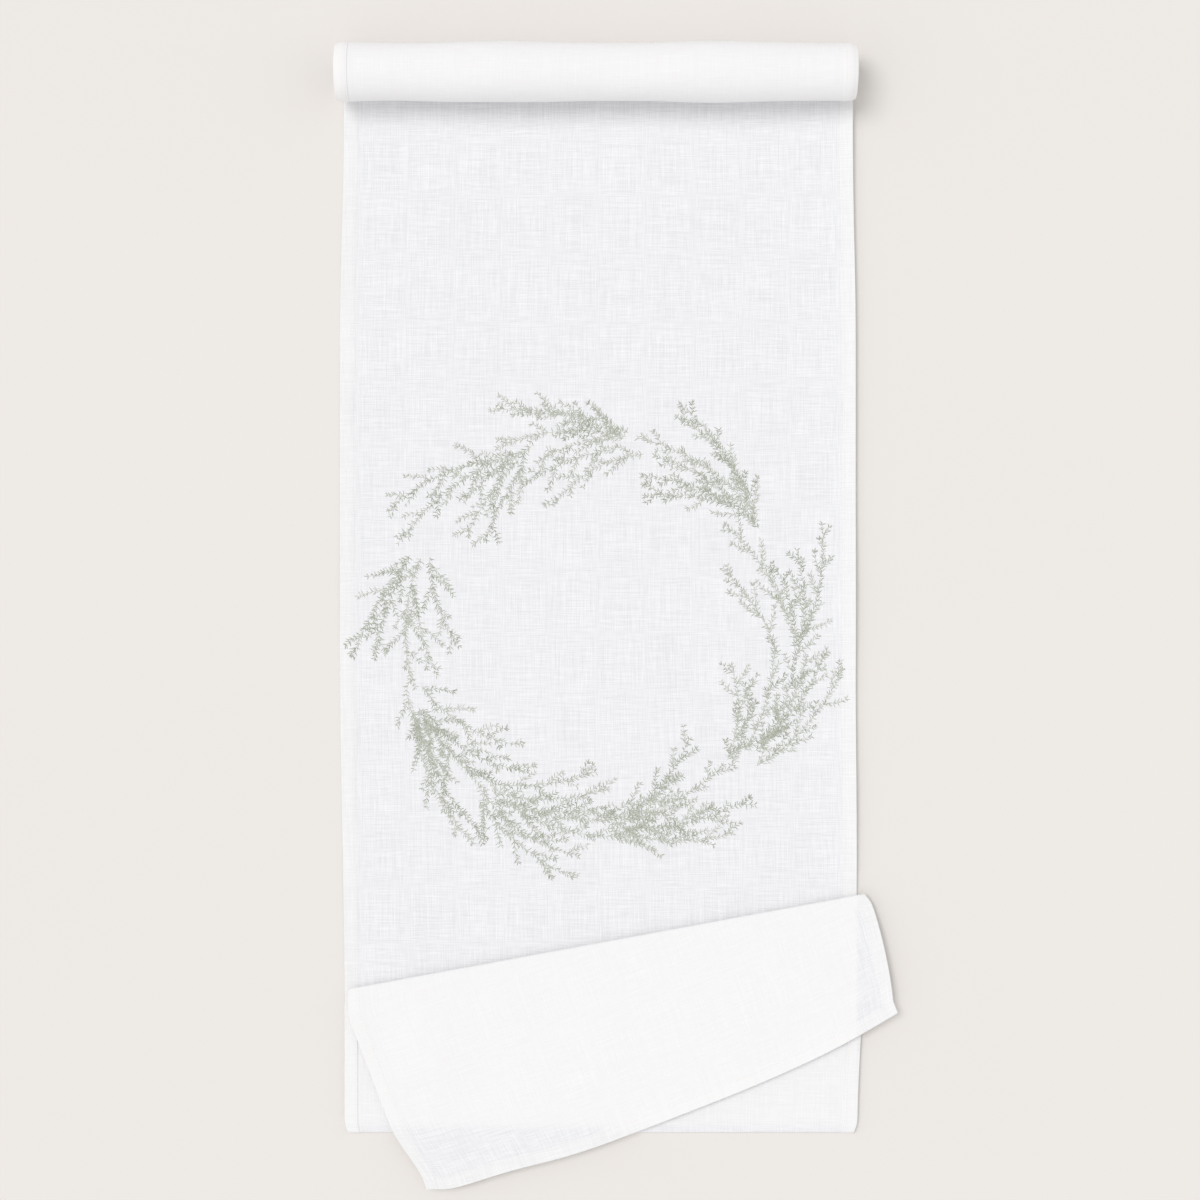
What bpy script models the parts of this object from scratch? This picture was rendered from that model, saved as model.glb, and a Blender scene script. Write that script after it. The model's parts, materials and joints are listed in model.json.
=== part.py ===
"""Linen table runner, 1.5 m by 0.45 m, with a hem all round: rolled up at one end and folded in a Z at the other.

The runner is drawn flat, as it is cut: X runs across it, Y along it and Z up from its wrong side, with the origin
at its centre. It is made of flat plates of cloth. Every fold line between two plates is an empty that carries all
the cloth beyond it, so that turning the empties folds the flat runner up, and turning them back lays it out.
"""

import math

import bmesh
import bpy
from mathutils import Quaternion, Vector

# The whole runner
LENGTH = 1.5
WIDTH = 0.45
CLOTH = 0.0008  # one ply of linen with its crimp
HEM_WIDTH = 0.011
HEM_THICKNESS = 2 * CLOTH  # three plies, pressed flat
HEM_ROUND = 0.0003  # radius of the hem's folded edges
STITCH_WIDTH = 0.0004  # the sewing thread that holds a hem down
STITCH_CLEARANCE = 0.0003

# The Z-fold at the front end
BOTTOM_CREASE = 0.438  # from the runner's centre to its first crease
BOTTOM_LOFT = 0.0035  # height of the soft bend there
MIDDLE_DEPTH = 0.1665  # length of the middle layer on the centre line
FLAP_SKEW = math.radians(10.45)  # the second crease runs this much off square
FLAP_LOFT = 0.0035
BEND_CLEARANCE = 0.0003  # between a bend and the layers that it joins

# The roll at the back end
ROLL_STRIPS = 19  # besides the one that the end hem makes
ROLL_TURN = math.radians(29.5)  # at each fold line of the roll
ROLL_FIRST = 0.015  # length of the outermost strip
ROLL_SHRINK = 0.000226  # each strip is this much shorter than the one outside it
ROLL_SETBACK = 0.0003  # a strip stops this far from its fold lines

# Colours
FACE_COLOUR = (0.86, 0.86, 0.88)
HEM_COLOUR = (0.90, 0.90, 0.90)
THREAD_COLOUR = (0.93, 0.93, 0.92)
LINEN_ROUGHNESS = 0.9

flat_places = {}  # where each empty lies on the flat runner


def material(name, colour):
    """Matt textile of one colour."""
    made = bpy.data.materials.new(name)
    made.use_nodes = True
    shader = made.node_tree.nodes["Principled BSDF"]
    shader.inputs["Base Color"].default_value = (*colour, 1)
    shader.inputs["Roughness"].default_value = LINEN_ROUGHNESS
    shader.inputs["Metallic"].default_value = 0
    return made


def fold_line(name, parent, y, direction, turn):
    """An empty where a fold line crosses the centre line, in the middle of the cloth's thickness.

    y is its place on the flat runner, and turn is the angle about direction that folds all the cloth beyond it.
    """
    empty = bpy.data.objects.new(name, None)
    bpy.context.collection.objects.link(empty)
    flat_places[name] = Vector((0, y, CLOTH / 2))
    if parent:
        empty.parent = parent
        empty.location = flat_places[name] - flat_places[parent.name]
    else:
        empty.location = flat_places[name]
    empty.rotation_mode = "QUATERNION"
    empty.rotation_quaternion = Quaternion(direction, turn)
    return empty


def moved(line, distance):
    """A line across the runner, (y at its centre, slope), moved squarely towards +Y."""
    y, slope = line
    return y + distance * math.hypot(1, slope), slope


def plate(name, carrier, sides, low, high, thickness, colour, rounded=0):
    """A flat plate of cloth between two x values and two lines, standing on the wrong side's plane."""
    corners = [(sides[0], low), (sides[1], low), (sides[1], high), (sides[0], high)]
    start = flat_places[carrier.name]
    shape = bmesh.new()
    ring = [shape.verts.new(Vector((x, y + slope * x, 0)) - start) for x, (y, slope) in corners]
    bottom = shape.faces.new(ring)
    lifted = bmesh.ops.extrude_face_region(shape, geom=[bottom])["geom"]
    top = [v for v in lifted if isinstance(v, bmesh.types.BMVert)]
    bmesh.ops.translate(shape, verts=top, vec=(0, 0, thickness))
    bmesh.ops.recalc_face_normals(shape, faces=shape.faces)
    mesh = bpy.data.meshes.new(name)
    shape.to_mesh(mesh)
    shape.free()
    mesh.materials.append(material(name + "_linen", colour))
    made = bpy.data.objects.new(name, mesh)
    bpy.context.collection.objects.link(made)
    made.parent = carrier
    if rounded:
        bevel = made.modifiers.new("folded edges", "BEVEL")
        bevel.width = rounded
        bevel.segments = 2
        bevel.limit_method = "ANGLE"
    return made


def hem(name, carrier, sides, low, high):
    """A double-turned hem: three plies, with folded edges."""
    plate(name, carrier, sides, low, high, HEM_THICKNESS, HEM_COLOUR, HEM_ROUND)


def thread(name, carrier, sides, low, high):
    """The line of stitches beside a hem."""
    plate(name, carrier, sides, low, high, CLOTH, THREAD_COLOUR)


def hemmed_layer(name, carrier, low, high):
    """A layer of cloth with its two side hems, and the stitches between them."""
    edge = WIDTH / 2
    hem_edge = edge - HEM_WIDTH
    thread_edge = hem_edge - STITCH_CLEARANCE
    thread_inside = thread_edge - STITCH_WIDTH
    panel_edge = thread_inside - STITCH_CLEARANCE
    plate(name + "_panel", carrier, (-panel_edge, panel_edge), low, high, CLOTH, FACE_COLOUR)
    hem(name + "_left_hem", carrier, (-edge, -hem_edge), low, high)
    hem(name + "_right_hem", carrier, (hem_edge, edge), low, high)
    thread(name + "_left_stitching", carrier, (-thread_edge, -thread_inside), low, high)
    thread(name + "_right_stitching", carrier, (thread_inside, thread_edge), low, high)


for old in list(bpy.data.objects):
    bpy.data.objects.remove(old)

ACROSS = Vector((1, 0, 0))
FULL_WIDTH = (-WIDTH / 2, WIDTH / 2)
CREASE_SETBACK = CLOTH / 2 + BEND_CLEARANCE  # a layer stops this far from the bend's middle plane
RIGHT_ANGLE = math.radians(90)

# Fold lines of the roll, from the inside out: the end strip holds the end hem and its stitching.
end_strip = ROLL_SETBACK + STITCH_WIDTH + STITCH_CLEARANCE + HEM_WIDTH
strip_lengths = [ROLL_FIRST - ROLL_SHRINK * i for i in range(ROLL_STRIPS)]
roll_lines = [LENGTH / 2 - end_strip]
for strip in reversed(strip_lengths):
    roll_lines.insert(0, roll_lines[0] - strip)

# Fold lines of the Z-fold. The second crease is skewed, so the flap comes back at an angle.
skew = -math.tan(FLAP_SKEW)
bottom_line = (-BOTTOM_CREASE, 0)
middle_line = (-BOTTOM_CREASE - BOTTOM_LOFT, 0)
flap_bend_line = (middle_line[0] - MIDDLE_DEPTH, skew)
flap_line = moved(flap_bend_line, -FLAP_LOFT)
along_skew = Vector((1, skew, 0)).normalized()

# The centre lies on the table and carries everything.
centre = fold_line("centre_place", None, 0, ACROSS, 0)
hemmed_layer("centre", centre, moved(bottom_line, CREASE_SETBACK), (roll_lines[0] - ROLL_SETBACK, 0))

# First crease: the bend stands up, and the middle layer lies back over the centre, wrong side up.
bottom_bend = fold_line("bottom_bend_fold", centre, bottom_line[0], ACROSS, -RIGHT_ANGLE)
plate(
    "bottom_bend",
    bottom_bend,
    FULL_WIDTH,
    moved(middle_line, CREASE_SETBACK),
    moved(bottom_line, -CREASE_SETBACK),
    CLOTH,
    FACE_COLOUR,
)
middle = fold_line("middle_fold", bottom_bend, middle_line[0], ACROSS, -RIGHT_ANGLE)
hemmed_layer("middle", middle, moved(flap_bend_line, CREASE_SETBACK), moved(middle_line, -CREASE_SETBACK))

# Second crease: the flap comes forward again, face up, with the hemmed end across it.
flap_bend = fold_line("flap_bend_fold", middle, flap_bend_line[0], along_skew, RIGHT_ANGLE)
plate(
    "flap_bend",
    flap_bend,
    FULL_WIDTH,
    moved(flap_line, CREASE_SETBACK),
    moved(flap_bend_line, -CREASE_SETBACK),
    CLOTH,
    FACE_COLOUR,
)
flap = fold_line("flap_fold", flap_bend, flap_line[0], along_skew, RIGHT_ANGLE)
end_line = (-LENGTH / 2, 0)
end_hem_line = moved(end_line, HEM_WIDTH)
end_thread_line = moved(end_hem_line, STITCH_CLEARANCE)
end_thread_top = moved(end_thread_line, STITCH_WIDTH)
hem("flap_end_hem", flap, FULL_WIDTH, end_line, end_hem_line)
thread("flap_end_stitching", flap, FULL_WIDTH, end_thread_line, end_thread_top)
hemmed_layer("flap", flap, moved(end_thread_top, STITCH_CLEARANCE), moved(flap_line, -CREASE_SETBACK))

# The roll: each strip is turned a little further than the last, and the end hem lies inside.
carrier = centre
for number, (start, stop) in enumerate(zip(roll_lines, roll_lines[1:]), 1):
    carrier = fold_line(f"roll_{number:02d}_fold", carrier, start, ACROSS, ROLL_TURN)
    plate(
        f"roll_{number:02d}",
        carrier,
        FULL_WIDTH,
        (start + ROLL_SETBACK, 0),
        (stop - ROLL_SETBACK, 0),
        CLOTH,
        HEM_COLOUR,
    )
roll_end = fold_line("roll_end_fold", carrier, roll_lines[-1], ACROSS, ROLL_TURN)
roll_thread_line = (roll_lines[-1] + ROLL_SETBACK, 0)
roll_thread_top = moved(roll_thread_line, STITCH_WIDTH)
thread("roll_end_stitching", roll_end, FULL_WIDTH, roll_thread_line, roll_thread_top)
hem("roll_end_hem", roll_end, FULL_WIDTH, moved(roll_thread_top, STITCH_CLEARANCE), (LENGTH / 2, 0))
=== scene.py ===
"""Linen table runner with a printed wreath, rolled up at one end and folded in a Z at the other.

One cloth runs through all the pieces. It is worked out flat, as it was cut: x across it, s along it and up
from its wrong side. The frame's own joints then carry each stretch of it into its fold.
"""

import json
import math

import bpy
import numpy as np
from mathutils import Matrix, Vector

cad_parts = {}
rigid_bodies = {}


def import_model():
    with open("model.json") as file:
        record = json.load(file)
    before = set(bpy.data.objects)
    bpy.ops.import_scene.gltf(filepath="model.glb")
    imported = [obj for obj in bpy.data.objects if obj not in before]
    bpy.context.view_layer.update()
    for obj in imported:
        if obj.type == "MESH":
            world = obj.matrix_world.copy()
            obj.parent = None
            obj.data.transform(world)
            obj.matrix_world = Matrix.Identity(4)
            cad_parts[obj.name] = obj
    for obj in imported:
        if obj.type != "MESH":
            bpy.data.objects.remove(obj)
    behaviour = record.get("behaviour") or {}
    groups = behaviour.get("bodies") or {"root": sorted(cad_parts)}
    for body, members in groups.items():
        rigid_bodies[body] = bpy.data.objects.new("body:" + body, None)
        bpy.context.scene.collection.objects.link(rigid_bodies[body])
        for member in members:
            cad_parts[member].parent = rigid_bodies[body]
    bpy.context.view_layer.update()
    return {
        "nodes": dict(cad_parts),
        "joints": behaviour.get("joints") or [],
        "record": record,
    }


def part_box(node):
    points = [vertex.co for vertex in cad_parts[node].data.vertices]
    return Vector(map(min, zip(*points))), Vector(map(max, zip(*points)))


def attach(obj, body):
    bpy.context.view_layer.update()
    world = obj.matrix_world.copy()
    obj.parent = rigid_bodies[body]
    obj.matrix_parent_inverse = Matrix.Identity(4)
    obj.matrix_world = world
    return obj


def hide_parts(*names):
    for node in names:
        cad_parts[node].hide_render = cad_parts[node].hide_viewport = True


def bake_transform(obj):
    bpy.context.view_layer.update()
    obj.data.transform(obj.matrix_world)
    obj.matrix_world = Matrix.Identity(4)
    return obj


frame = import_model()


# -------------------------------------------------------------------------------- The folds
# The runner is folded by hand, not pressed: a soft bend across the front end, a second one at a slant above
# it, and a loose roll at the back. Each fold line here is a joint of the frame, seen on the flat runner.

CREASE_TURN = 0.0024  # a soft bend starts to turn this far from its fold line


def whole_turn(joint):
    """The 4x4 turn about a joint's line by its whole range: Rodrigues' formula about its axis, through its
    point."""
    x, y, z = np.array(joint["axis"]) / np.linalg.norm(joint["axis"])
    angle = math.radians(joint["range_deg"][1])
    cross = np.array([[0, -z, y], [z, 0, -x], [-y, x, 0]])
    made = np.eye(4)
    made[:3, :3] += math.sin(angle) * cross + (1 - math.cos(angle)) * cross @ cross
    made[:3, 3] = joint["pos_m"] - made[:3, :3] @ joint["pos_m"]
    return made


laid_out = {"centre": np.eye(4)}  # carries each body from its fold to its place on the flat runner
folds = []
for joint in frame["joints"]:
    before = laid_out[joint["parent"]]
    laid_out[joint["child"]] = before @ whole_turn(joint)
    point = before[:3, :3] @ joint["pos_m"] + before[:3, 3]
    line = before[:3, :3] @ np.array(joint["axis"])
    outward = np.cross([0, 0, 1], line)
    outward *= np.sign(outward[1] * point[1]) / np.linalg.norm(outward)
    folds.append({"bodies": (joint["parent"], joint["child"]), "point": point, "outward": outward})
folded = {body: np.linalg.inv(place) for body, place in laid_out.items()}
front_folds = [fold for fold in folds if fold["point"][1] < 0]
roll_folds = [fold for fold in folds if fold["point"][1] > 0]

# Between two fold lines that are close together the bends meet halfway.
for chain in (front_folds, roll_folds):
    for fold in chain:
        fold["before"] = fold["after"] = CREASE_TURN
    for fold, following in zip(chain, chain[1:]):
        if abs(fold["outward"] @ following["outward"]) > 0.9999:
            gap = (following["point"] - fold["point"]) @ fold["outward"]
            if gap < 0.02:
                fold["after"] = following["before"] = gap / 2
roll_folds[0]["before"] = roll_folds[0]["after"]
roll_folds[-1]["after"] = roll_folds[-1]["before"]


def beyond(fold, x, s):
    """How far a point of the flat runner lies beyond a fold line, measured square to it."""
    return (x - fold["point"][0]) * fold["outward"][0] + (s - fold["point"][1]) * fold["outward"][1]


def smooth(t):
    """0 below 0, 1 above 1 and a smooth S between, 3t^2 - 2t^3."""
    t = np.clip(t, 0, 1)
    return t * t * (3 - 2 * t)


bottom_lower, bottom_upper, slant_lower, slant_upper = front_folds
first_roll = roll_folds[0]
SLANT = slant_lower["outward"][0] / slant_lower["outward"][1]  # the slanted line is s = start - SLANT * x


# -------------------------------------------------------------------------------- The linen
# One length of thin white linen, plain woven, with a hem turned twice round all four sides. On the face the
# hem swells softly; on the wrong side its folded edge stands up as a step.

PLY = 0.00045
HEM_SWELL = 0.00028  # what the two turned plies add on the face, when they are pressed
HEM_STEP = 0.00027  # how far their folded edge stands up on the wrong side
HEM_EDGE = 0.0005  # and the width over which it rounds off
RIM_ROUND = 0.0006
SWELL_WAVES = 5
SWELL_DIVISOR = 3.2
box_low, box_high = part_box("centre_right_hem")
HALF_WIDTH = box_high[0]
HEM_WIDTH = box_high[0] - box_low[0]
end_points = np.array([v.co for v in frame["nodes"]["roll_end_hem"].data.vertices])
HALF_LENGTH = float((end_points @ laid_out["roll_end"][1, :3] + laid_out["roll_end"][1, 3]).max())
MIDDLE = folds[0]["point"][2]  # the fold lines lie this far above the wrong side's plane


def rim_distance(x, s):
    """Distance to the nearest edge of the runner."""
    return np.minimum(HALF_WIDTH - np.abs(x), HALF_LENGTH - np.abs(s))


def wrong_side_up(x, s):
    """1 on the middle layer and in the roll, where the wrong side shows, and 0 on the centre and the flap."""
    return (
        smooth(beyond(bottom_lower, x, s) / 0.0035)
        - smooth(beyond(slant_lower, x, s) / 0.0035)
        + smooth((beyond(first_roll, x, s) + 0.01) / 0.01)
    )


def swell(x, s, size, seed, stretch=1.0):
    """A smooth random swell between about -1 and 1: five sine waves of roughly the given length, longer
    along s by stretch, in directions and phases drawn once from seed."""
    draw = np.random.default_rng(seed)
    total = 0
    for _ in range(SWELL_WAVES):
        heading, phase = draw.uniform(0, 2 * np.pi, 2)
        length = size * draw.uniform(0.7, 1.5)
        total = total + np.sin(
            2 * np.pi * (x * np.cos(heading) + s / stretch * np.sin(heading)) / length + phase
        )
    return total / SWELL_DIVISOR


def lift(x, s):
    """How far the cloth's middle surface stands off its flat place: low swells all over, side hems that
    curl up in long waves, soft lengthwise ripples, livelier on the flap and round the roll."""
    side = np.exp(-(HALF_WIDTH - np.abs(x)) / 0.020)
    in_front = smooth((bottom_lower["point"][1] + 0.24 - s) / 0.05)
    on_middle = smooth(beyond(bottom_lower, x, s) / 0.02) - smooth((beyond(slant_lower, x, s) + 0.01) / 0.01)
    on_flap = smooth((beyond(slant_upper, x, s) - 0.004) / 0.03)
    in_roll = smooth((s - first_roll["point"][1] + 0.03) / 0.03)
    on_centre = 1 - smooth(beyond(bottom_lower, x, s) / 0.015 + 1) - in_roll
    calm = 0.00022 * (1 + swell(x, s, 0.13, 3)) + 0.00008 * (1 + swell(x, s, 0.03, 4, 9))
    right_curl = 0.0050 * (1 + 0.25 * swell(0 * x, s, 0.11, 6)) * (1 - 0.8 * in_front)
    left_curl = 0.0005 * (1 + 0.8 * swell(0 * x, s, 0.11, 5))
    curl = side * np.where(x > 0, right_curl, left_curl)
    ends = np.exp(-(HALF_LENGTH - np.abs(s)) / 0.012)
    puckers = ends * 0.00025 * (1 + swell(x, 0 * s, 0.010, 9))
    flap = 0.0005 * (1 + swell(x, s, 0.09, 8)) + 0.0011 * side * (1 + 1.4 * (x > 0)) + puckers + 0.0022 * ends
    roll = 0.0007 * (1 + swell(x, 0 * s, 0.12, 11)) + 0.0003 * (1 + swell(x, s, 0.06, 12))
    roll = roll + 0.0018 * np.exp(-(((HALF_WIDTH - np.abs(x)) / 0.0035) ** 2))
    return on_centre * (calm + curl) + on_middle * 0.5 * calm + on_flap * flap + in_roll * roll


def drawn(x, s):
    """Where hands have drawn the flat cloth a little out of true: the centre narrows towards the roll, the
    flap's edges bow, and its hemmed end is drawn out past its flat place, furthest in the middle. The moves
    are along the fold lines wherever the cloth crosses one."""
    right = (x / HALF_WIDTH + 1) / 2
    centre_left = -0.0021 + 0.0035 * smooth((s - 0.25) / 0.2) + 0.0044 * smooth((0.0 - s) / 0.35)
    centre_right = 0.0004 - 0.0027 * smooth((s - 0.25) / 0.2) + 0.0017 * smooth((0.0 - s) / 0.35)
    tucked = smooth((s - first_roll["point"][1] + 0.028) / 0.02)
    centre_left = centre_left + tucked * (-0.002 - centre_left)
    centre_right = centre_right + tucked * (-0.0023 - centre_right)
    across = centre_left * (1 - right) + centre_right * right
    past_front, past_slant = beyond(bottom_upper, x, s), beyond(slant_lower, x, s)
    over = smooth(past_front / (past_front - past_slant + 1e-9))
    over = np.where(past_front > 0, over, 0)
    over = np.where(past_slant > 0, 1, over)
    wide = over * 0.0085 * right ** 3
    seam = HALF_LENGTH - HEM_WIDTH
    down = np.clip(beyond(slant_upper, x, s) - CREASE_TURN, 0, 1)
    down = down / (down + np.maximum(seam + s, 0) + 1e-9)
    bowed = -0.0135 * down ** 1.7 * right ** 3
    bowed = bowed + (0.011 * smooth((down - 0.7) / 0.35) - 0.0049 * smooth(down / 0.15)) * (1 - right) ** 3
    pulled = -0.011 - 0.0155 * (1 - np.abs(x / HALF_WIDTH) ** 3)
    pulled = pulled + 0.0035 * np.exp(-(((x + 0.15) / 0.045) ** 2))
    pulled = pulled + 0.004 * np.exp(-(((x + HALF_WIDTH) / 0.013) ** 2))
    folded_over = (slant_lower["point"] + slant_upper["point"]) / 2
    out_x, out_s = slant_lower["outward"][:2]
    off_slant = (x - folded_over[0]) * out_x + (s - folded_over[1]) * out_s
    off_front = s - (bottom_lower["point"][1] + bottom_upper["point"][1]) / 2
    corners = np.exp(-((off_slant / 0.007) ** 2)) + np.exp(-((off_front / 0.007) ** 2))
    across = across + wide + bowed - 0.0032 * corners * np.sign(x) * (x / HALF_WIDTH) ** 8
    return x + across, s - over * SLANT * across + pulled * smooth(down)


def carried(body, points):
    """Points of the flat runner, carried into the fold by one body."""
    return points @ folded[body][:3, :3].T + folded[body][:3, 3]


def place(x, s, up):
    """Where a point of the flat runner lies once it is folded. Most points ride on a body. Round a fold
    line the middle surface is a quadratic Bezier curve, from its reach before the line, by the line, to its
    reach after it, and up is measured square to that curve."""
    x, s, up = np.broadcast_arrays(x, s, up)
    across, along = drawn(x, s)
    flat = np.stack([across, along, np.full(x.shape, MIDDLE)], -1)
    found = carried("centre", flat)
    normal = np.zeros_like(flat)
    normal[..., 2] = 1
    for fold in folds:
        start, stop = fold["bodies"]
        reach = fold["before"] + fold["after"]
        far = beyond(fold, x, s)
        past = far >= fold["after"]
        found[past] = carried(stop, flat[past])
        normal[past] = folded[stop][:3, 2]
        near = (far > -fold["before"]) & ~past
        if near.any():
            t = ((far[near] + fold["before"]) / reach)[:, None]
            foot = flat[near] - far[near][:, None] * fold["outward"]
            corner = carried(start, foot)
            first = carried(start, foot - fold["before"] * fold["outward"])
            last = carried(stop, foot + fold["after"] * fold["outward"])
            found[near] = (1 - t) ** 2 * first + 2 * t * (1 - t) * corner + t * t * last
            heading = (1 - t) * (corner - first) + t * (last - corner)
            line = folded[start][:3, :3] @ np.cross(fold["outward"], [0, 0, 1])
            square = np.cross(line, heading)
            normal[near] = square / np.linalg.norm(square, axis=-1, keepdims=True)
    return found + (up - MIDDLE + lift(x, s))[..., None] * normal


def thickness(x, s, side):
    """Height of the face (side 1) or the wrong side (side -1) over the middle surface. The hem adds its two
    plies softly to the face where the runner lies face up, and as a step with a rounded edge to the wrong
    side where that shows. Both meet in a half round at the rim."""
    rim = rim_distance(x, s)
    swollen = smooth((HEM_WIDTH + 0.0035 - rim) / 0.006)
    step = np.sqrt(1 - np.clip((rim - HEM_WIDTH) / HEM_EDGE, 0, 1) ** 2)
    turned = np.clip(wrong_side_up(x, s), 0, 1)
    face = PLY / 2 + HEM_SWELL * (1 - turned) * swollen
    wrong = -PLY / 2 - HEM_STEP * turned * step
    half = (face - wrong) / 2 * np.sqrt(1 - (1 - np.clip(rim / RIM_ROUND, 0, 1)) ** 2)
    return (face + wrong) / 2 + side * half


def surface(x, s, side, above=0.0):
    """A point on the face or the wrong side of the folded runner, or a little above it."""
    return place(x, s, MIDDLE + thickness(x, s, side) + side * above)


def surface_normal(x, s, side):
    """Outward normal, from central differences over the cloth that runs on past the piece's own border."""
    e = 0.0001
    near_x, far_x = np.clip(x - e, -HALF_WIDTH, HALF_WIDTH), np.clip(x + e, -HALF_WIDTH, HALF_WIDTH)
    near_s, far_s = np.clip(s - e, -HALF_LENGTH, HALF_LENGTH), np.clip(s + e, -HALF_LENGTH, HALF_LENGTH)
    over = surface(far_x, s, side) - surface(near_x, s, side)
    along = surface(x, far_s, side) - surface(x, near_s, side)
    normal = side * np.cross(over, along)
    return normal / np.maximum(np.linalg.norm(normal, axis=-1, keepdims=True), 1e-12)


# Grid lines close together at the rim and at the hem's folded edge, and evenly spread over the open cloth.
RIM_LINES = [0, 0.06, 0.2, 0.6, 2.5, 5, 7.5, 9.8, 10.9, 11, 11.13, 11.3, 11.44, 11.5, 12.4, 14, 16.5, 20]
RIM_LINES = np.array(RIM_LINES) / 1000
RIM_LINES = np.where(RIM_LINES >= 0.0109, RIM_LINES - 0.011 + HEM_WIDTH, RIM_LINES)


def columns_across(spacing):
    """Grid of x across the runner: the rim's lines at both sides and an even spread between them."""
    rim = RIM_LINES[:-1]
    half = HALF_WIDTH - RIM_LINES[-1]
    even = np.linspace(-half, half, 2 * round(half / spacing) + 1)
    return np.concatenate([-HALF_WIDTH + rim, even, (HALF_WIDTH - rim)[::-1]])


def rows_between(low, high, spacing, low_end, high_end):
    """Grid of s for every column, between two border lines given as s for every column. At an end of the
    runner the first rows follow its rim."""
    rims = RIM_LINES[RIM_LINES < (high - low).min() - 0.001]
    rows = [low + rim for rim in rims[:-1]] if low_end else []
    start = low + rims[-1] if low_end else low
    tail = [high - rim for rim in rims[:-1]][::-1] if high_end else []
    stop = high - rims[-1] if high_end else high
    count = max(2, round(float((stop - start).max()) / spacing) + 1)
    rows += [start + (stop - start) * f for f in np.linspace(0, 1, count)]
    return np.array(rows + tail)


def cloth_mesh(name, columns, s, low_open, high_open):
    """A closed shell of cloth on the grid columns x s: the face, the wrong side under it, which share their
    vertices at the rim, and a cap along each cut border. The UV map holds (x, s) in metres."""
    x = np.broadcast_to(columns, s.shape)
    face_points, wrong_points = surface(x, s, 1), surface(x, s, -1)
    face_normals, wrong_normals = surface_normal(x, s, 1), surface_normal(x, s, -1)
    face = np.arange(s.size).reshape(s.shape)
    wrong = face + s.size
    wrong[:, 0], wrong[:, -1] = face[:, 0], face[:, -1]
    if not low_open:
        wrong[0] = face[0]
    if not high_open:
        wrong[-1] = face[-1]

    def cells(grid, flipped):
        """Quads of a grid, anticlockwise seen from above, or turned over."""
        quads = np.stack([grid[:-1, :-1], grid[:-1, 1:], grid[1:, 1:], grid[1:, :-1]], -1).reshape(-1, 4)
        return quads[:, ::-1] if flipped else quads

    faces = cells(face, False).tolist() + cells(wrong, True).tolist()
    for is_open, row, flipped in ((low_open, 0, False), (high_open, -1, True)):
        if is_open:
            caps = np.stack([wrong[row, :-1], wrong[row, 1:], face[row, 1:], face[row, :-1]], -1)
            caps = caps[:, ::-1] if flipped else caps
            faces += [list(dict.fromkeys(cap)) for cap in caps.tolist()]
    points = np.concatenate([face_points.reshape(-1, 3), wrong_points.reshape(-1, 3)])
    normals = np.concatenate([face_normals.reshape(-1, 3), wrong_normals.reshape(-1, 3)])
    flat = np.tile(np.stack([x, s], -1).reshape(-1, 2), (2, 1))
    used, index = np.unique(np.concatenate([np.ravel(f) for f in faces]), return_inverse=True)
    sizes = np.array([len(f) for f in faces])
    starts = np.concatenate([[0], np.cumsum(sizes)[:-1]])
    mesh = bpy.data.meshes.new(name)
    mesh.vertices.add(len(used))
    mesh.vertices.foreach_set("co", points[used].ravel())
    mesh.loops.add(len(index))
    mesh.loops.foreach_set("vertex_index", index)
    mesh.polygons.add(len(faces))
    mesh.polygons.foreach_set("loop_start", starts)
    mesh.polygons.foreach_set("loop_total", sizes)
    mesh.update(calc_edges=True)
    mesh.uv_layers.new(name="flat").data.foreach_set("uv", flat[used][index].astype(np.float32).ravel())
    # The gaps of the weave get painted light where lit cloth lies under them and painted shade where shaded
    # table lies under them. This is fixed at rest.
    underlay_light = mesh.attributes.new("underlay_light", "FLOAT", "POINT")
    underlay_light.data.foreach_set("value", painted_underlay_light(*flat[used].T, points[used]).astype(np.float32))
    mesh.polygons.foreach_set("use_smooth", np.ones(len(faces), bool))
    mesh.normals_split_custom_set_from_vertices(normals[used])
    return mesh


def painted_underlay_light(x, s, points):
    """Painted light and shade for the gaps of the weave. The value is 1 where another lit layer of the runner
    lies under the cloth, so its gaps are painted whiter. It is 0 where the table lies under it in the cloth's
    shade, so its gaps are painted darker. It is worked out once from the rest place, which is compared with
    the outline of the cloth that lies on the table."""
    inside = smooth((HALF_WIDTH + 0.001 - np.abs(points[:, 0] - 0.002)) / 0.004)
    inside = inside * smooth((points[:, 1] - bottom_lower["point"][1]) / 0.012)
    front = 0.8 * smooth(beyond(bottom_upper, x, s) / 0.003) + 0.2 * smooth(beyond(slant_lower, x, s) / 0.003)
    return np.maximum(front * inside, smooth((s - first_roll["point"][1]) / 0.012))


def link(name, mesh, material):
    """An object of this mesh, in the scene, with one material."""
    mesh.materials.append(material)
    made = bpy.data.objects.new(name, mesh)
    bpy.context.scene.collection.objects.link(made)
    return made


def node(tree, kind, **values):
    """A shader node with its settings and unlinked inputs."""
    made = tree.nodes.new(kind)
    for key, value in values.items():
        if hasattr(made, key):
            setattr(made, key, value)
        else:
            made.inputs[key.replace("_", " ")].default_value = value
    return made


def maths(tree, operation, a, b=None):
    """A Math node's output from sockets or numbers."""
    made = tree.nodes.new("ShaderNodeMath")
    made.operation = operation
    for socket, value in zip(made.inputs, (a, b)):
        if isinstance(value, bpy.types.NodeSocket):
            tree.links.new(value, socket)
        elif value is not None:
            socket.default_value = value
    return made.outputs[0]


def ramp(tree, value, low, high):
    """0 below low, 1 above high, straight between."""
    made = tree.nodes.new("ShaderNodeMapRange")
    tree.links.new(value, made.inputs["Value"])
    made.inputs["From Min"].default_value = low
    made.inputs["From Max"].default_value = high
    return made.outputs["Result"]


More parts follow.
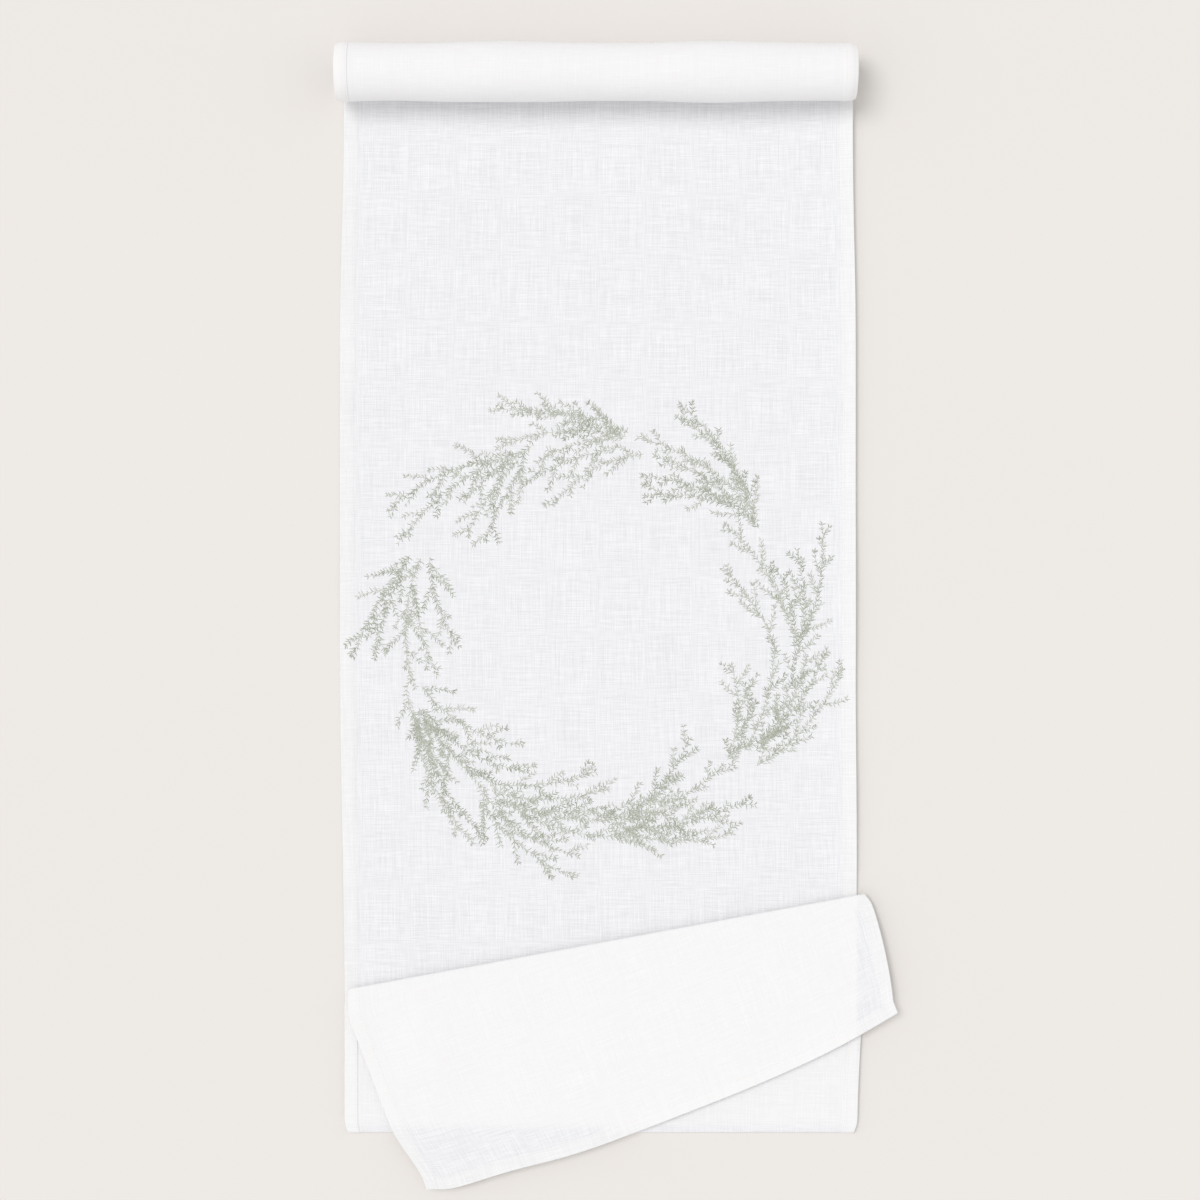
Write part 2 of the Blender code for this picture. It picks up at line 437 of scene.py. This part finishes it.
def mixed(tree, factor, a, b):
    """Two colours, or colour sockets, mixed by a factor."""
    made = tree.nodes.new("ShaderNodeMix")
    made.data_type = "RGBA"
    tree.links.new(factor, made.inputs["Factor"])
    for socket, value in ((made.inputs["A"], a), (made.inputs["B"], b)):
        made_sockets = [i for i in made.inputs if i.name == socket.name and i.type == "RGBA"]
        if isinstance(value, bpy.types.NodeSocket):
            tree.links.new(value, made_sockets[0])
        else:
            made_sockets[0].default_value = (*value, 1)
    return next(o for o in made.outputs if o.type == "RGBA")


def threads(tree, across, along, per_metre, length, seed):
    """Noise drawn out into threads: fine across, long along, between 0 and 1."""
    combined = node(tree, "ShaderNodeCombineXYZ", Z=seed)
    tree.links.new(maths(tree, "MULTIPLY", across, per_metre), combined.inputs["X"])
    tree.links.new(maths(tree, "MULTIPLY", along, 1 / length), combined.inputs["Y"])
    noise = node(tree, "ShaderNodeTexNoise", Scale=1.0, Detail=1.5, Roughness=0.55)
    tree.links.new(combined.outputs[0], noise.inputs["Vector"])
    return noise.outputs["Fac"]


THREAD_WHITE = (0.96, 0.96, 0.975)
# Painted light in the gaps of the weave: a bluish grey shade of the table under a single layer, and the white
# of lit cloth under another layer.
GAP_SHADE_OVER_TABLE = (0.80, 0.802, 0.825)
GAP_LIGHT_OVER_CLOTH = (0.92, 0.90, 0.90)
HEM_WHITE = (0.96, 0.95, 0.935)
WEAVE_PITCH = 0.0012  # two threads each way


def linen_material():
    """Half sheer plain weave: warp and weft threads of uneven thickness with thicker slubs among them. Where
    the table shows between them, the gaps are painted darker with its shade under the cloth. Where another lit
    layer of cloth lies under them, they are painted lighter. The hems are whiter and warmer where the cloth is
    three plies thick."""
    made = bpy.data.materials.new("white_linen")
    made.use_nodes = True
    tree = made.node_tree
    shader = tree.nodes["Principled BSDF"]
    uv = node(tree, "ShaderNodeUVMap", uv_map="flat")
    split = node(tree, "ShaderNodeSeparateXYZ")
    tree.links.new(uv.outputs[0], split.inputs[0])
    x, s = split.outputs["X"], split.outputs["Y"]
    warp = threads(tree, x, s, 1050, 0.055, 1.0)
    weft = threads(tree, s, x, 1050, 0.042, 7.0)
    fine_warp = threads(tree, x, s, 2100, 0.016, 13.0)
    fine_weft = threads(tree, s, x, 2100, 0.014, 19.0)
    slub_warp = ramp(tree, threads(tree, x, s, 950, 0.03, 31.0), 0.64, 0.76)
    slub_weft = ramp(tree, threads(tree, s, x, 950, 0.03, 37.0), 0.64, 0.76)
    density = threads(tree, x, s, 60, 0.03, 43.0)
    cover = maths(tree, "ADD", maths(tree, "ADD", warp, weft), maths(tree, "ADD", fine_warp, fine_weft))
    cover = maths(tree, "ADD", maths(tree, "MULTIPLY", cover, 0.5), maths(tree, "MULTIPLY", density, 0.07))
    slubs = maths(tree, "MAXIMUM", slub_warp, slub_weft)
    cover = maths(tree, "ADD", cover, maths(tree, "MULTIPLY", slubs, 0.2))
    cover = ramp(tree, cover, 0.84, 1.26)
    # The gaps are painted with shade where the table lies under the cloth and with light where another layer
    # does.
    underlay_light = node(tree, "ShaderNodeAttribute", attribute_name="underlay_light")
    gap = mixed(tree, underlay_light.outputs["Fac"], GAP_SHADE_OVER_TABLE, GAP_LIGHT_OVER_CLOTH)
    colour = mixed(tree, cover, gap, THREAD_WHITE)
    rim_x = maths(tree, "SUBTRACT", HALF_WIDTH, maths(tree, "ABSOLUTE", x))
    rim_s = maths(tree, "SUBTRACT", HALF_LENGTH, maths(tree, "ABSOLUTE", s))
    rim = maths(tree, "MINIMUM", rim_x, rim_s)
    hem = ramp(tree, rim, HEM_WIDTH + 0.0004, HEM_WIDTH)
    colour = mixed(tree, maths(tree, "MULTIPLY", hem, 0.4), colour, HEM_WHITE)
    tree.links.new(colour, shader.inputs["Base Color"])
    over_under = maths(
        tree,
        "MULTIPLY",
        maths(tree, "SINE", maths(tree, "MULTIPLY", x, 2 * math.pi / WEAVE_PITCH)),
        maths(tree, "SINE", maths(tree, "MULTIPLY", s, 2 * math.pi / WEAVE_PITCH)),
    )
    height = maths(tree, "ADD", maths(tree, "MULTIPLY", over_under, 0.25), cover)
    bump = node(tree, "ShaderNodeBump", Strength=0.5, Distance=0.00018)
    tree.links.new(height, bump.inputs["Height"])
    tree.links.new(bump.outputs[0], shader.inputs["Normal"])
    polish = maths(tree, "MULTIPLY", ramp(tree, cover, 0, 1), 0.12)
    tree.links.new(maths(tree, "SUBTRACT", 0.92, polish), shader.inputs["Roughness"])
    shader.inputs["Specular IOR Level"].default_value = 0.2
    shader.inputs["Sheen Weight"].default_value = 0.9
    shader.inputs["Sheen Roughness"].default_value = 0.3
    return made


linen = linen_material()


# -------------------------------------------------------------------------------- The sewing
# White sewing thread holds the hems down in a straight lockstitch, set in from the hem's folded edge:
# needle thread on the face and bobbin thread on the wrong side, each stitch dipping into the cloth at its
# ends.

STITCH_PITCH = 0.0028
STITCH_INSET = 0.0012
STITCH_SIZE = (0.0011, 0.00019, 0.00016)  # half length, half width and height
THREAD_COLOUR = (0.90, 0.895, 0.87)


def thread_material():
    """Twisted cotton thread: a fine slanting band of light and shade."""
    made = bpy.data.materials.new("sewing_thread")
    made.use_nodes = True
    tree = made.node_tree
    shader = tree.nodes["Principled BSDF"]
    place_of = node(tree, "ShaderNodeTexCoord")
    wave = node(tree, "ShaderNodeTexWave", Scale=900.0, Distortion=1.5, bands_direction="DIAGONAL")
    tree.links.new(place_of.outputs["Object"], wave.inputs["Vector"])
    darker = tuple(0.86 * c for c in THREAD_COLOUR)
    tree.links.new(mixed(tree, wave.outputs["Fac"], darker, THREAD_COLOUR), shader.inputs["Base Color"])
    shader.inputs["Roughness"].default_value = 0.7
    shader.inputs["Sheen Weight"].default_value = 0.1
    return made


sewing_thread = thread_material()


def stitches(name, low, high, ends=()):
    """All the stitches between two border lines, each given as a function of x, on both sides of the cloth:
    along the side hems, and across at each s in ends. A stitch is a long octahedron laid on the surface."""
    count = round(2 * HALF_LENGTH / STITCH_PITCH)
    along = -HALF_LENGTH + (np.arange(count) + 0.5) * STITCH_PITCH
    line = HALF_WIDTH - HEM_WIDTH + STITCH_INSET
    spots = []
    for at in (-line, line):
        spots += [(at, s, 0.0, 1.0) for s in along if low(at) < s < high(at)]
    across = np.arange(-line + STITCH_PITCH / 2, line, STITCH_PITCH)
    spots += [(x, s, 1.0, 0.0) for s in ends for x in across]
    x, s, head_x, head_s = (np.array(column)[:, None] for column in zip(*spots))
    half, width, height = STITCH_SIZE
    forth = np.array([-half, half, 0, 0, 0, 0])
    aside = np.array([0, 0, -width, width, 0, 0])
    above = np.array([-0.00008, -0.00008, 0, 0, height, -0.0001])
    upper = [[0, 2, 4], [2, 1, 4], [1, 3, 4], [3, 0, 4]]
    lower = [[2, 0, 5], [1, 2, 5], [3, 1, 5], [0, 3, 5]]
    corners = np.array(upper + lower)
    points, faces = [], []
    for side in (1, -1):
        at_x = x + forth * head_x + aside * head_s
        at_s = s + forth * head_s - aside * head_x
        grid = place(at_x, at_s, MIDDLE + thickness(at_x, at_s, side) + side * above)
        order = corners[:, ::-1] if side == 1 else corners
        faces.append(order[None] + 6 * (np.arange(len(spots))[:, None, None] + len(points) * len(spots)))
        points.append(grid.reshape(-1, 3))
    mesh = bpy.data.meshes.new(name)
    mesh.from_pydata(np.concatenate(points).tolist(), [], np.concatenate(faces).reshape(-1, 3).tolist())
    mesh.polygons.foreach_set("use_smooth", np.ones(len(mesh.polygons), bool))
    return link(name, mesh, sewing_thread)


# -------------------------------------------------------------------------------- The cloth's pieces
# The one cloth, parted where its bodies meet: a stretch that lies flat rides on its body, and a stretch
# that bends is made in its bent shape round its fold line and left in place. The parts meet edge to edge
# with the same surface, so no join shows.

BORDER_REACH = 0.0096  # a bend's part reaches this far into the layer beside it
FINE = 0.0012


def border(fold, offset):
    """The line at this distance beyond a fold line, as s for any x."""
    out_x, out_s = fold["outward"][:2]
    return lambda x: fold["point"][1] + (offset - (x - fold["point"][0]) * out_x) / out_s


def runner_end(side):
    """The line of one of the runner's own ends, as s for any x."""
    return lambda x: side * HALF_LENGTH + 0 * x


def cloth_piece(name, low, high, slot, spacing, held, rests_on, ends=(), low_end=False, high_end=False):
    """One part of the cloth between two border lines, with its stitching."""
    columns = columns_across(spacing[0])
    s = rows_between(low(columns), high(columns), spacing[1], low_end, high_end)
    piece = link(name, cloth_mesh(name, columns, s, not low_end, not high_end), linen)
    sewn = stitches(f"{name}_stitching", low, high, ends)
    longest = float((high(columns) - low(columns)).max())
    middle = float(high(0.0) - low(0.0))
    return piece, sewn


def lying(name, body, low, high, slot, spacing, held, rests_on, **at_end):
    """A part that lies flat and rides on one body, in place of all the body's nodes."""
    piece, sewn = cloth_piece(name, low, high, slot, spacing, held, rests_on, **at_end)
    nodes = frame["record"]["behaviour"]["bodies"][body]
    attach(piece, body)
    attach(sewn, body)
    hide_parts(*[n for n in nodes if "stitching" not in n])
    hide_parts(*[n for n in nodes if "stitching" in n])


def bending(name, fold, low, high, slot, rests_on, nodes, **at_end):
    """A part that bends at one fold line: it is made in its bent shape and left in place in the world,
    standing in for the given nodes."""
    piece, sewn = cloth_piece(name, low, high, slot, (0.006, FINE), "folded", rests_on, **at_end)
    for part in (piece, sewn):
        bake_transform(part)
    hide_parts(*[n for n in nodes if "stitching" not in n])
    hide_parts(*[n for n in nodes if "stitching" in n])


lying(
    "centre_cloth",
    "centre",
    border(bottom_lower, -BORDER_REACH),
    border(first_roll, -first_roll["before"]),
    "linen_face",
    (0.006, 0.0034),
    "laid",
    ["table_top"],
)
bending(
    "front_bend_lower_cloth",
    bottom_lower,
    border(bottom_lower, bottom_lower["after"]),
    border(bottom_lower, -BORDER_REACH),
    "linen_face",
    ["table_top"],
    ["bottom_bend"],
)
bending(
    "front_bend_upper_cloth",
    bottom_upper,
    border(bottom_upper, BORDER_REACH),
    border(bottom_upper, -bottom_upper["before"]),
    "linen_face",
    ["centre_cloth"],
    [],
)
lying(
    "middle_cloth",
    "middle",
    border(slant_lower, -BORDER_REACH),
    border(bottom_upper, BORDER_REACH),
    "linen_back",
    (0.004, 0.003),
    "folded",
    ["centre_cloth"],
)
bending(
    "slant_bend_lower_cloth",
    slant_lower,
    border(slant_lower, slant_lower["after"]),
    border(slant_lower, -BORDER_REACH),
    "linen_back",
    ["centre_cloth"],
    ["flap_bend"],
)
bending(
    "slant_bend_upper_cloth",
    slant_upper,
    border(slant_upper, BORDER_REACH),
    border(slant_upper, -slant_upper["before"]),
    "linen_face",
    ["middle_cloth"],
    [],
)
end_seam = HALF_LENGTH - HEM_WIDTH + STITCH_INSET
lying(
    "flap_cloth",
    "flap",
    runner_end(-1),
    border(slant_upper, BORDER_REACH),
    "linen_face",
    (0.002, 0.0028),
    "folded",
    ["middle_cloth"],
    ends=(-end_seam,),
    low_end=True,
)
for number, fold in enumerate(roll_folds, 1):
    last = fold is roll_folds[-1]
    bending(
        f"roll_{number:02d}_cloth",
        fold,
        border(fold, -fold["before"]),
        runner_end(1) if last else border(fold, fold["after"]),
        "linen_back",
        ["centre_cloth"],
        frame["record"]["behaviour"]["bodies"][fold["bodies"][1]],
        ends=(end_seam,) if last else (),
        high_end=last,
    )


# -------------------------------------------------------------------------------- The printed wreath
# A loose wreath of leafy sprigs, screen printed on the face in sage green. The ink lies on the threads, so
# it shows the weave and has worn paler in places. Bunches stand about evenly round a ring, and each fans out
# towards the foot of the next.

BUNCHES = 9
RING_RADIUS = 0.170  # the sprigs spring from here
FAN = 0.046  # the outermost and the innermost tip of a bunch lie this far outside and inside the ring
SWEEP = math.radians(42)  # the longest sprig runs this far round the ring
WHORL_PITCH = 0.0037  # between the whorls of leaves on a stem
LEAF_LENGTH = 0.0052
LEAF_WIDTH = 0.00066
STEM_WIDTH = 0.00036
STEM_POINTS = 25
SHOOT_POINTS = 15
SHOOT_PITCH = 0.0115
SHOOT_LENGTHS = (0.009, 0.032)
LEAVES_KEPT = 0.84  # the share of the leaves that took the ink
INK_HEIGHT = 0.00005
INK_DARK = (0.31, 0.335, 0.26)
INK_PALE = (0.60, 0.62, 0.535)

draw = np.random.default_rng(20)


def sprig_line(foot_angle, foot_radius, tip_angle, tip_radius):
    """A stem from foot to tip: angle and radius both change evenly, and it sways a little to one side."""
    t = np.linspace(0, 1, STEM_POINTS)
    angle = foot_angle + (tip_angle - foot_angle) * t
    radius = foot_radius + (tip_radius - foot_radius) * t + draw.uniform(-0.003, 0.003) * np.sin(np.pi * t)
    return np.stack([radius * np.cos(angle), radius * np.sin(angle)], -1)


def bunch_lines(around):
    """The stems of one bunch: their feet lie close together at about this angle round the ring, and their tips
    spread from inside the ring to outside it, each a little off its even place."""
    made = []
    for share in np.linspace(-1, 1, draw.integers(5, 8)):
        foot = around + math.radians(draw.uniform(-6, 6))
        tip = foot + SWEEP * draw.uniform(0.6, 1.0)
        out = RING_RADIUS + FAN * (share + draw.uniform(-0.12, 0.12))
        made.append(sprig_line(foot, RING_RADIUS + 0.008 * (share + draw.uniform(-0.5, 0.5)), tip, out))
    return made


def shoot_line(line, where, turn, length):
    """A side shoot: it leaves its stem at an angle and curves back towards the stem's own heading."""
    at = line[where]
    ahead = line[min(where + 1, len(line) - 1)] - line[max(where - 1, 0)]
    heading = math.atan2(ahead[1], ahead[0])
    t = np.linspace(0, 1, SHOOT_POINTS)
    bearing = heading + turn * (1 - 0.45 * t)
    steps = np.stack([np.cos(bearing), np.sin(bearing)], -1) * length / (SHOOT_POINTS - 1)
    return at + np.concatenate([[[0, 0]], np.cumsum(steps[:-1], axis=0)])


def leaves_on(line, strength):
    """Whorls of leaves up a stem, three or four to a whorl that spread to both sides of it, the last one at
    its tip. Gives one row for each leaf: x, s, heading, length, half width and ink."""
    steps = np.linalg.norm(np.diff(line, axis=0), axis=1)
    run = np.concatenate([[0], np.cumsum(steps)])
    whorls = np.append(np.arange(0.0015, run[-1] - 0.001, WHORL_PITCH), run[-1])
    spread = np.array([-1.25, -0.6, 0.55, 1.2])
    spots = np.repeat(whorls, 4) + draw.uniform(-0.0009, 0.0009, 4 * len(whorls))
    spots = np.clip(spots, 0, run[-1])
    x, s = np.interp(spots, run, line[:, 0]), np.interp(spots, run, line[:, 1])
    headings = np.unwrap(np.arctan2(*np.gradient(line, axis=0).T[::-1]))
    heading = np.interp(spots, run, headings)
    heading = heading + np.tile(spread, len(whorls)) * draw.uniform(0.6, 1.2, len(spots))
    near_tip = spots / run[-1]
    length = LEAF_LENGTH * (1 - 0.25 * near_tip) * draw.uniform(0.6, 1.2, len(spots))
    width = LEAF_WIDTH / 2 * draw.uniform(0.7, 1.3, len(spots))
    ink = strength * draw.uniform(0.5, 1.2, len(spots))
    kept = draw.uniform(0, 1, len(spots)) < LEAVES_KEPT
    return np.stack([x, s, heading, length, width, ink], -1)[kept]


lines, leaf_rows = [], []
for bunch in range(BUNCHES):
    for main in bunch_lines(2 * math.pi / BUNCHES * (bunch + draw.uniform(-0.12, 0.12))):
        lines.append(main)
        shoots = int(np.linalg.norm(main[-1] - main[0]) / SHOOT_PITCH)
        side = 1
        for number in range(shoots):
            where = (STEM_POINTS - 1) * (number + draw.uniform(0.2, 0.9)) / shoots
            where = int(np.clip(where, 1, STEM_POINTS - 3))
            side = -side if draw.uniform() < 0.8 else side
            turn = side * math.radians(draw.uniform(24, 62))
            length = draw.uniform(*SHOOT_LENGTHS) * (1 - 0.5 * where / (STEM_POINTS - 1))
            lines.append(shoot_line(main, where, turn, length))
PRINT_EDGE = HALF_WIDTH - 0.004  # nothing is printed nearer to the side
within = [int(np.argmin(np.append(np.abs(line[:, 0]) < PRINT_EDGE, False))) for line in lines]
lines = [line[:count] for line, count in zip(lines, within) if count > 3]
for line in lines:
    leaf_rows.append(leaves_on(line, draw.uniform(0.45, 1.0)))
leaf_rows = np.concatenate(leaf_rows)
leaf_rows = leaf_rows[np.abs(leaf_rows[:, 0]) < PRINT_EDGE]


def leaf_shapes(rows):
    """Every leaf: six points round a pointed oval and one raised in the middle, closed underneath, all set
    on the face of the folded cloth a hair above it."""
    x, s, heading, length, half, ink = (column[:, None] for column in rows.T)
    forth = np.array([0, 0.28, 0.68, 1, 0.68, 0.28, 0.48]) * length
    aside = np.array([0, 0.85, 0.8, 0, -0.8, -0.85, 0]) * half
    hair = INK_HEIGHT * (1 + 1.4 * draw.uniform(0, 1, (len(rows), 1)))
    above = hair + np.array([0, 0, 0, 0, 0, 0, 1]) * 0.00002
    flat_x = x + forth * np.cos(heading) - aside * np.sin(heading)
    flat_s = s + forth * np.sin(heading) + aside * np.cos(heading)
    fans = [[0, 6, 1], [1, 6, 2], [2, 6, 3], [3, 6, 4], [4, 6, 5], [5, 6, 0]]
    under = [[0, 1, 5], [1, 2, 4], [1, 4, 5], [2, 3, 4]]
    faces = np.array(fans + under)[None] + 7 * np.arange(len(rows))[:, None, None]
    faces = faces[..., ::-1]
    return flat_x, flat_s, above, np.broadcast_to(ink, flat_x.shape), faces.reshape(-1, 3)


def stem_shapes():
    """Every stem: a low ridge of three sides along its line, tapered to the tip and closed at both ends."""
    xs, ss, highs, inks, faces = [], [], [], [], []
    count = 0
    for line in lines:
        along = np.gradient(line, axis=0)
        along /= np.linalg.norm(along, axis=1, keepdims=True)
        half = STEM_WIDTH / 2 * np.linspace(1.1, 0.6, len(line))[:, None]
        sides = np.stack([-along[:, 1], along[:, 0]], -1) * half
        ring = np.stack([line - sides, line + sides, line], 1)
        xs.append(ring[..., 0].ravel())
        ss.append(ring[..., 1].ravel())
        highs.append(np.tile([INK_HEIGHT * 0.7, INK_HEIGHT * 0.7, INK_HEIGHT], len(line)))
        inks.append(np.full(3 * len(line), 0.45))
        first = count + 3 * np.arange(len(line) - 1)[:, None, None]
        strips = np.array([[0, 3, 5], [0, 5, 2], [2, 5, 4], [2, 4, 1], [1, 4, 3], [1, 3, 0]])
        faces.append((first + strips[None]).reshape(-1, 3))
        last = count + 3 * (len(line) - 1)
        faces.append(np.array([[count, count + 2, count + 1], [last, last + 1, last + 2]]))
        count += 3 * len(line)
    return *(np.concatenate(a) for a in (xs, ss, highs, inks)), np.concatenate(faces)


def ink_material():
    """Sage green ink sunk into the weave: it takes well on the threads and thinly in the gaps between
    them."""
    made = bpy.data.materials.new("sage_ink")
    made.use_nodes = True
    tree = made.node_tree
    shader = tree.nodes["Principled BSDF"]
    uv = node(tree, "ShaderNodeUVMap", uv_map="flat")
    split = node(tree, "ShaderNodeSeparateXYZ")
    tree.links.new(uv.outputs[0], split.inputs[0])
    x, s = split.outputs["X"], split.outputs["Y"]
    fine = maths(tree, "ADD", threads(tree, x, s, 1900, 0.006, 13.0), threads(tree, s, x, 1900, 0.006, 19.0))
    worn = ramp(tree, threads(tree, x, s, 45, 0.02, 71.0), 0.2, 0.8)
    ink = node(tree, "ShaderNodeAttribute", attribute_name="ink")
    taken_up = maths(tree, "ADD", 0.45, maths(tree, "MULTIPLY", fine, 0.5))
    strength = maths(tree, "MULTIPLY", ink.outputs["Fac"], taken_up)
    strength = maths(tree, "ADD", strength, maths(tree, "MULTIPLY", worn, 0.12))
    colour = mixed(tree, ramp(tree, strength, 0.2, 1.05), INK_PALE, INK_DARK)
    tree.links.new(colour, shader.inputs["Base Color"])
    bump = node(tree, "ShaderNodeBump", Strength=0.4, Distance=0.00012)
    tree.links.new(fine, bump.inputs["Height"])
    tree.links.new(bump.outputs[0], shader.inputs["Normal"])
    shader.inputs["Roughness"].default_value = 0.85
    shader.inputs["Specular IOR Level"].default_value = 0.2
    return made


leaf_x, leaf_s, leaf_up, leaf_ink, leaf_faces = leaf_shapes(leaf_rows)
stem_x, stem_s, stem_up, stem_ink, stem_faces = stem_shapes()
flat_x = np.concatenate([leaf_x.ravel(), stem_x])
flat_s = np.concatenate([leaf_s.ravel(), stem_s])
height = np.concatenate([leaf_up.ravel(), stem_up])
printed = surface(flat_x, flat_s, 1, height)
faces = np.concatenate([leaf_faces, stem_faces + leaf_x.size])
mesh = bpy.data.meshes.new("wreath_print")
mesh.from_pydata(printed.tolist(), [], faces.tolist())
flat = np.stack([flat_x, flat_s], -1).astype(np.float32)
mesh.uv_layers.new(name="flat").data.foreach_set("uv", flat[faces.ravel()].ravel())
inked = np.concatenate([leaf_ink.ravel(), stem_ink]).astype(np.float32)
mesh.attributes.new("ink", "FLOAT", "POINT").data.foreach_set("value", inked)
wreath = link("wreath_print", mesh, ink_material())
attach(wreath, "centre")


# -------------------------------------------------------------------------------- Floor, light, camera
# A plain pale table top, one large soft lamp high at the back left, a weak reflector low at the front, even
# light all round, and the camera straight above.

CAMERA_HEIGHT = 2.0
VIEW_CENTRE = (0.0013, 0.029)
FLOOR_COLOUR = (0.85, 0.815, 0.78)


def floor_material():
    """Matt off-white paint with the faintest unevenness."""
    made = bpy.data.materials.new("pale_table")
    made.use_nodes = True
    tree = made.node_tree
    shader = tree.nodes["Principled BSDF"]
    place_of = node(tree, "ShaderNodeTexCoord")
    noise = node(tree, "ShaderNodeTexNoise", Scale=2.5, Detail=2.0)
    tree.links.new(place_of.outputs["Object"], noise.inputs["Vector"])
    darker = tuple(0.985 * c for c in FLOOR_COLOUR)
    tree.links.new(mixed(tree, noise.outputs["Fac"], darker, FLOOR_COLOUR), shader.inputs["Base Color"])
    shader.inputs["Roughness"].default_value = 0.95
    shader.inputs["Specular IOR Level"].default_value = 0.1
    return made


mesh = bpy.data.meshes.new("table_top")
mesh.from_pydata([(-6, -6, 0), (6, -6, 0), (6, 6, 0), (-6, 6, 0)], [], [(0, 1, 2, 3)])
mesh.materials.append(floor_material())
floor = bpy.data.objects.new("table_top", mesh)
bpy.context.scene.collection.objects.link(floor)

world = bpy.data.worlds.new("even_light")
world.use_nodes = True
world.node_tree.nodes["Background"].inputs["Color"].default_value = (1.0, 1.0, 1.0, 1)
world.node_tree.nodes["Background"].inputs["Strength"].default_value = 0.65
bpy.context.scene.world = world

for name, strength, spread, stands in (
    ("softbox", 1.05, 30, (-0.9, 0.6, 2.2)),
    ("reflector", 0.34, 80, (-0.5, -1.4, 1.1)),
):
    lamp_data = bpy.data.lights.new(name, "SUN")
    lamp_data.angle = math.radians(spread)
    lamp_data.energy = strength
    lamp = bpy.data.objects.new(name, lamp_data)
    bpy.context.scene.collection.objects.link(lamp)
    lamp.location = stands
    lamp.rotation_euler = lamp.location.to_track_quat("Z", "Y").to_euler()

lens_data = bpy.data.cameras.new("camera")
lens_data.lens = 68.3
lens_data.sensor_width = 36
lens_data.clip_start = 0.01
camera = bpy.data.objects.new("camera", lens_data)
bpy.context.scene.collection.objects.link(camera)
camera.location = (*VIEW_CENTRE, CAMERA_HEIGHT)
bpy.context.scene.camera = camera
bpy.context.scene.view_settings.view_transform = "Standard"

bpy.context.view_layer.update()
